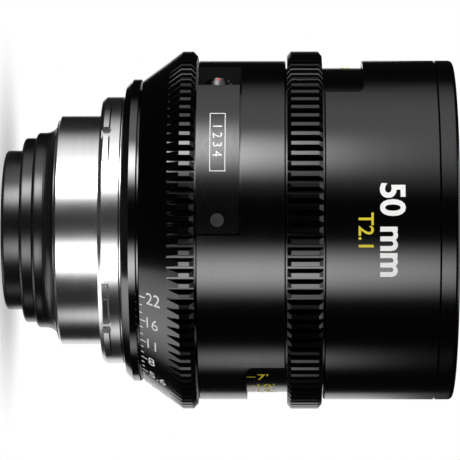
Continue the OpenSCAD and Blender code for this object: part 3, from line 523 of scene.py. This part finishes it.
# Height of a figure in the built-in typeface at size 1
FIGURE_HEIGHT = 0.69

# Iris scale: the angle of each stop from the index, and the two ticks for its thirds
STOPS = ["2.1", "2.8", "4", "5.6", "8", "11", "16", "22"]
STOP_STEP = 9.9
FIRST_STEP = 8.3
INDEX_ANGLE = 92.5
LONG_TICK = 1.75 * MM
SHORT_TICK = 0.85 * MM
TICK_START = 0.1 * MM
TICK_W = 0.3 * MM
FIGURE_H = 2.9 * MM
FIGURE_START = 2.05 * MM


def stop_angle(number):
    """How far a stop lies from the wide-open one."""
    return 0 if number == 0 else FIRST_STEP + (number - 1) * STOP_STEP


def iris_scale(name, index_angle, turned_over):
    """Stop numbers with a tick each and two short ticks between; turned over, they read toward the rear."""
    sign = -1 if turned_over else 1
    marks = Marking()
    for number, words in enumerate(STOPS):
        here = on_cone(index_angle - stop_angle(number), turned_over)
        marks.bar(*sorted((sign * TICK_START, sign * LONG_TICK)), TICK_W, here)
        marks.text(words, FIGURE_H, sign * FIGURE_START, here, THIN, 1.0 if turned_over else 0.0)
        if number > 0:
            step = stop_angle(number) - stop_angle(number - 1)
            for share in (1 / 3, 2 / 3):
                between = on_cone(index_angle - stop_angle(number) + share * step)
                marks.bar(TICK_START, SHORT_TICK, TICK_W, between)
    marks.piece(name, "iris_ring", white_paint)


iris_scale("iris_scale_near", INDEX_ANGLE, False)
iris_scale("iris_scale_far", -INDEX_ANGLE, True)

# Focus scale: feet from the subject, whose angle from the index is about that of one over the distance
FEET = [("30'", 30), ("15'", 15), ("10'", 10), ("7'", 7), ("5'", 5), ("4'", 4), ("3'", 3), ("2'6\"", 2.5),
        ("2'", 2), ("1'6\"", 1.5), ("1'3\"", 1.25), ("1'", 1), ("10\"", 10 / 12)]
FEET_TURN = 210
UNIT_ANGLE = 9
FOCUS_TICK = (0.3 * MM, 2.4 * MM)
FOCUS_FIGURE = 2.75 * MM
DRUM_RIM = 0.45 * MM


def focus_scale(name, index_angle, start_z, turned_over):
    """Distances with a tick each, from infinity at the index."""
    marks = Marking()
    for words, feet in FEET:
        here = on_drum(index_angle - FEET_TURN / feet, DRUM_R, start_z, turned_over)
        marks.bar(*FOCUS_TICK, TICK_W, here)
        marks.text(words, FIGURE_H, FOCUS_FIGURE, here)
    far = on_drum(index_angle, DRUM_R, start_z, turned_over)
    marks.bar(*FOCUS_TICK, TICK_W, far)
    marks.text("∞", FIGURE_H, FOCUS_FIGURE, far)
    unit = on_drum(index_angle + UNIT_ANGLE, DRUM_R, start_z, turned_over)
    marks.text("ft", FIGURE_H, FOCUS_FIGURE, unit)
    marks.piece(name, "focus_ring", yellow_paint)


focus_scale("focus_scale_rear", INDEX_ANGLE, DRUM_Z, False)
focus_scale("focus_scale_front", -INDEX_ANGLE, DRUM_TOP_Z - DRUM_RIM, True)

# Index lines: where each starts and ends, and how deep the scale windows are
IRIS_INDEX = (2.4 * MM, 3.5 * MM)
FOCUS_INDEX = (0.6 * MM, 3.6 * MM)
WINDOW_DEPTH = 9.1 * MM


def index_lines():
    """The lines on the fixed barrels that the scales are read against."""
    marks = Marking()
    for angle in (INDEX_ANGLE, -INDEX_ANGLE):
        marks.bar(*IRIS_INDEX, TICK_W, on_drum(angle, INDEX_R, INDEX_Z))
    start, end = FOCUS_INDEX
    marks.bar(-end, -start, TICK_W, on_drum(INDEX_ANGLE, BARREL_R, MIDDLE_TOP_Z - WINDOW_DEPTH))
    marks.bar(start, end, TICK_W, on_drum(-INDEX_ANGLE, BARREL_R, FRONT_Z + WINDOW_DEPTH))
    marks.piece("index_lines", "barrel", white_paint)


index_lines()

# Focal length and speed: the height of their figures and their place from the front barrel's rear end
LARGE_FIGURE = 5.3 * MM
SMALL_FIGURE = 3.3 * MM
FOCAL_LENGTH_Z = 15.2 * MM
SPEED_Z = 9.2 * MM


def front_figures():
    """Focal length and speed on the front barrel."""
    marks = Marking()
    here = around_barrel(0, BARREL_R, FRONT_Z + FOCAL_LENGTH_Z)
    marks.text("50 mm", LARGE_FIGURE, 0, here, BOLD, 0.5)
    marks.piece("focal_length", "barrel", white_paint)
    marks = Marking()
    here = around_barrel(0, BARREL_R, FRONT_Z + SPEED_Z)
    marks.text("T2.1", SMALL_FIGURE, 0, here, HEAVY, 0.5)
    marks.piece("speed", "barrel", yellow_paint)


front_figures()

# Pin numbers: the drawn frame, the height of the figures, and how far they are turned from the port's middle
PIN_FRAME = (15 * MM, 3.6 * MM)
PIN_LINE = 0.18 * MM
PIN_FIGURE = 2.1 * MM
PIN_TURN = -1


def pin_numbers():
    """Pin numbers on the data port's cover, whose outside is a wider curve than the barrel."""
    low_end = (PORT_OUT * math.cos(COVER_HALF) + PORT_IN * math.sin(COVER_HALF)) * BARREL_R
    high_end = (PORT_OUT * math.cos(COVER_HALF) - PORT_IN * math.sin(COVER_HALF)) * (BARREL_R + COVER_SWELL)
    chord = low_end - high_end
    inward = Vector((-chord.y, chord.x, 0)).normalized()
    centre = (low_end + high_end) / 2 + inward * math.sqrt(COVER_R ** 2 - (chord.length / 2) ** 2)
    on_cover = around_barrel(PORT_ANGLE + PIN_TURN, COVER_R, PORT_Z, centre)
    marks = Marking()
    marks.box(*PIN_FRAME, PIN_LINE, on_cover)
    marks.text("1 2 3 4", PIN_FIGURE, 0, on_cover, THIN, 0.5)
    marks.piece("pin_numbers", "barrel", white_paint)


pin_numbers()

SOCKET_DOT_R = 0.45 * MM


def socket_dot():
    """Red dot on the socket, where the plug's own dot goes."""
    marks = Marking()
    marks.dot(SOCKET_DOT_R, on_socket(SOCKET_DOT_Y))
    marks.piece("socket_dot", "barrel", red_paint)


socket_dot()


# Camera

CAMERA_PLACE = Vector((0, -0.730, 0.0418))
CAMERA_AIM = Vector((0, 0, 0.0297))
CAMERA_UP = Vector((-1, 0, 0))
CAMERA_LENS = 241.3
CAMERA_SENSOR = 36


def photo_camera():
    data = bpy.data.cameras.new("camera")
    data.lens = CAMERA_LENS
    data.sensor_width = CAMERA_SENSOR
    camera = bpy.data.objects.new("camera", data)
    bpy.context.scene.collection.objects.link(camera)
    ahead = (CAMERA_AIM - CAMERA_PLACE).normalized()
    side = ahead.cross(CAMERA_UP).normalized()
    above = side.cross(ahead)
    turn = Matrix((side, above, -ahead)).transposed().to_4x4()
    camera.matrix_world = Matrix.Translation(CAMERA_PLACE) @ turn
    bpy.context.scene.camera = camera


photo_camera()


# Light: upright soft panels around the lens, one below it and one above

def panel(name, place, target, width, height, radiance):
    """An evenly bright panel that faces a point."""
    lamp = bpy.data.lights.new(name, "AREA")
    lamp.shape = "RECTANGLE"
    lamp.size = width
    lamp.size_y = height
    lamp.energy = radiance * math.pi * width * height
    made = bpy.data.objects.new(name, lamp)
    made.location = place
    made.rotation_mode = "QUATERNION"
    made.rotation_quaternion = (target - place).to_track_quat("-Z", "Y")
    made.visible_camera = False
    bpy.context.scene.collection.objects.link(made)
    return lamp


def dim_sides(lamp, angle, width):
    """Dims a panel toward its sides, where angle is its direction from the axis."""
    lamp.use_nodes = True
    tree = lamp.node_tree
    across = add_node(tree, "ShaderNodeVectorMath", operation="DOT_PRODUCT")
    across.inputs[1].default_value = turn_of(angle + 90)
    join(tree, add_node(tree, "ShaderNodeNewGeometry").outputs["Position"], across.inputs[0])
    offset = add_node(tree, "ShaderNodeMath", operation="ABSOLUTE")
    join(tree, across.outputs["Value"], offset.inputs[0])
    share = add_node(tree, "ShaderNodeMapRange", interpolation_type="SMOOTHSTEP", in_1=0.0, in_2=width / 2,
                     in_3=1.0, in_4=0.0)
    join(tree, offset.outputs[0], share.inputs[0])
    join(tree, share.outputs[0], tree.nodes["Emission"].inputs["Strength"])
    return share.outputs[0]


def upright_panel(name, angle, width, low, high, radiance, fade=None):
    """A panel that stands around the axis and dims toward its sides.

    The angle is its direction, and low and high its reach in z. With fade its brightness changes along z as
    well: each entry is a place and the share there.
    """
    middle = Vector((0, 0, (low + high) / 2))
    lamp = panel(name, turn_of(angle) * PANEL_DISTANCE + middle, middle, width, high - low, radiance)
    strength = dim_sides(lamp, angle, width)
    if fade:
        tree = lamp.node_tree
        place_z = add_node(tree, "ShaderNodeSeparateXYZ")
        join(tree, add_node(tree, "ShaderNodeNewGeometry").outputs["Position"], place_z.inputs[0])
        reach = add_node(tree, "ShaderNodeMapRange", in_1=low, in_2=high, in_3=0.0, in_4=1.0)
        join(tree, place_z.outputs["Z"], reach.inputs[0])
        ramp = add_node(tree, "ShaderNodeValToRGB")
        stops = ramp.color_ramp.elements
        stops.remove(stops[1])
        for number, (z, share_there) in enumerate(fade):
            stop = stops[0] if number == 0 else stops.new((z - low) / (high - low))
            stop.position = (z - low) / (high - low)
            stop.color = (share_there, share_there, share_there, 1)
        join(tree, reach.outputs[0], ramp.inputs[0])
        both = add_node(tree, "ShaderNodeMath", operation="MULTIPLY")
        join(tree, strength, both.inputs[0])
        join(tree, ramp.outputs["Color"], both.inputs[1])
        join(tree, both.outputs[0], tree.nodes["Emission"].inputs["Strength"])


PANEL_DISTANCE = 0.55
LOW_ANGLE = 92
LOW_WIDTH = 0.72
LOW_HEIGHT = 0.36
LOW_PLACE = turn_of(LOW_ANGLE) * 0.34 + Vector((0, 0, -0.47))
LOW_AIM = Vector((0, 0, 0.02))
OVERHEAD_PLACE = Vector((0, 0, 0.95))
OVERHEAD_SIZE = 0.9

# Share of their brightness that the upright panels have at a place along z
KEY_FADE = ((-0.05, 0.7), (-0.01, 1), (0.010, 1), (0.072, 0))
SECOND_FADE = ((-0.06, 0.5), (0.02, 1), (0.10, 0.55), (0.16, 0.2))
THIRD_FADE = ((-0.09, 0), (0.03, 1), (0.04, 1), (0.085, 0))

upright_panel("wide_panel", -69, 1.3, -0.30, 0.40, 1.4)
upright_panel("key_panel", -50, 0.42, -0.20, 0.10, 14.5, KEY_FADE)
upright_panel("second_panel", 27, 0.42, -0.20, 0.16, 9.0, SECOND_FADE)
upright_panel("third_panel", 94, 0.28, -0.20, 0.10, 2.5, THIRD_FADE)
low_lamp = panel("low_panel", LOW_PLACE, LOW_AIM, LOW_WIDTH, LOW_HEIGHT, 3.0)
dim_sides(low_lamp, LOW_ANGLE, LOW_WIDTH)
panel("overhead_panel", OVERHEAD_PLACE, Vector((0, 0, 0)), OVERHEAD_SIZE, OVERHEAD_SIZE, 2.2)


# World: a white backdrop, which the lens mirrors only behind it and up to a height, in an otherwise dim room

BACKDROP_ANGLE = 170
BACKDROP_REACH = 24
BACKDROP_EDGE = 2.5
BACKDROP_TOP = (0.022, 0.05)
ROOM_STRENGTH = 0.008


def studio_world():
    made = bpy.data.worlds.new("studio")
    bpy.context.scene.world = made
    made.use_nodes = True
    tree = made.node_tree
    tree.nodes.clear()
    facing = add_node(tree, "ShaderNodeVectorMath", operation="DOT_PRODUCT")
    facing.inputs[1].default_value = turn_of(BACKDROP_ANGLE)
    direction = add_node(tree, "ShaderNodeTexCoord").outputs["Generated"]
    join(tree, direction, facing.inputs[0])
    behind = add_node(tree, "ShaderNodeMapRange", interpolation_type="SMOOTHSTEP")
    behind.inputs[1].default_value = math.cos(math.radians(BACKDROP_REACH + BACKDROP_EDGE))
    behind.inputs[2].default_value = math.cos(math.radians(BACKDROP_REACH - BACKDROP_EDGE))
    join(tree, facing.outputs["Value"], behind.inputs[0])
    rise = add_node(tree, "ShaderNodeSeparateXYZ")
    join(tree, direction, rise.inputs[0])
    below = add_node(tree, "ShaderNodeMapRange", interpolation_type="SMOOTHSTEP", in_1=BACKDROP_TOP[0],
                     in_2=BACKDROP_TOP[1], in_3=1.0, in_4=0.0)
    join(tree, rise.outputs["Z"], below.inputs[0])
    backdrop_share = add_node(tree, "ShaderNodeMath", operation="MULTIPLY")
    join(tree, behind.outputs[0], backdrop_share.inputs[0])
    join(tree, below.outputs[0], backdrop_share.inputs[1])
    ray = add_node(tree, "ShaderNodeLightPath")
    mirrored = add_node(tree, "ShaderNodeMath", operation="MAXIMUM")
    join(tree, ray.outputs["Is Glossy Ray"], mirrored.inputs[0])
    join(tree, ray.outputs["Is Transmission Ray"], mirrored.inputs[1])
    mirrored_behind = add_node(tree, "ShaderNodeMath", operation="MULTIPLY")
    join(tree, mirrored.outputs[0], mirrored_behind.inputs[0])
    join(tree, backdrop_share.outputs[0], mirrored_behind.inputs[1])
    white_share = add_node(tree, "ShaderNodeMath", operation="MAXIMUM")
    join(tree, ray.outputs["Is Camera Ray"], white_share.inputs[0])
    join(tree, mirrored_behind.outputs[0], white_share.inputs[1])
    room = add_node(tree, "ShaderNodeBackground", in_Color=(1, 1, 1, 1), in_Strength=ROOM_STRENGTH)
    backdrop = add_node(tree, "ShaderNodeBackground", in_Color=(1, 1, 1, 1), in_Strength=1.0)
    choice = add_node(tree, "ShaderNodeMixShader")
    join(tree, white_share.outputs[0], choice.inputs[0])
    join(tree, room.outputs[0], choice.inputs[1])
    join(tree, backdrop.outputs[0], choice.inputs[2])
    output = add_node(tree, "ShaderNodeOutputWorld")
    join(tree, choice.outputs[0], output.inputs["Surface"])


studio_world()


# Floor: a pale disc that fades out, so that it has no edge, and that shows from above only

FLOOR_R = 0.05
FLOOR_FADE_R = 0.014
FLOOR_SHARE = 0.5
FLOOR_GAP = 0.01 * MM
FLOOR_SIDES = 96


def pale_floor():
    mesh = bmesh.new()
    bmesh.ops.create_circle(mesh, cap_ends=True, radius=FLOOR_R, segments=FLOOR_SIDES)
    bmesh.ops.translate(mesh, verts=mesh.verts[:], vec=(0, 0, FLOOR_Z - FLOOR_GAP))
    data = bpy.data.meshes.new("floor")
    mesh.to_mesh(data)
    mesh.free()
    made, shader = new_material("floor_pale", (0.82, 0.82, 0.82), 0.0, 0.8)
    tree = made.node_tree
    radius = add_node(tree, "ShaderNodeSeparateXYZ")
    join(tree, turned_place(tree), radius.inputs[0])
    fade = add_node(tree, "ShaderNodeMapRange", interpolation_type="SMOOTHSTEP", in_1=FLOOR_FADE_R,
                    in_2=FLOOR_R, in_3=FLOOR_SHARE, in_4=0.0)
    join(tree, radius.outputs["X"], fade.inputs[0])
    side = add_node(tree, "ShaderNodeMath", operation="SUBTRACT", in_0=1.0)
    join(tree, add_node(tree, "ShaderNodeNewGeometry").outputs["Backfacing"], side.inputs[1])
    shown = add_node(tree, "ShaderNodeMath", operation="MULTIPLY")
    join(tree, fade.outputs[0], shown.inputs[0])
    join(tree, side.outputs[0], shown.inputs[1])
    join(tree, shown.outputs[0], shader.inputs["Alpha"])
    data.materials.append(made)
    floor = bpy.data.objects.new("floor", data)
    bpy.context.scene.collection.objects.link(floor)


pale_floor()

bpy.context.scene.view_settings.view_transform = "Standard"
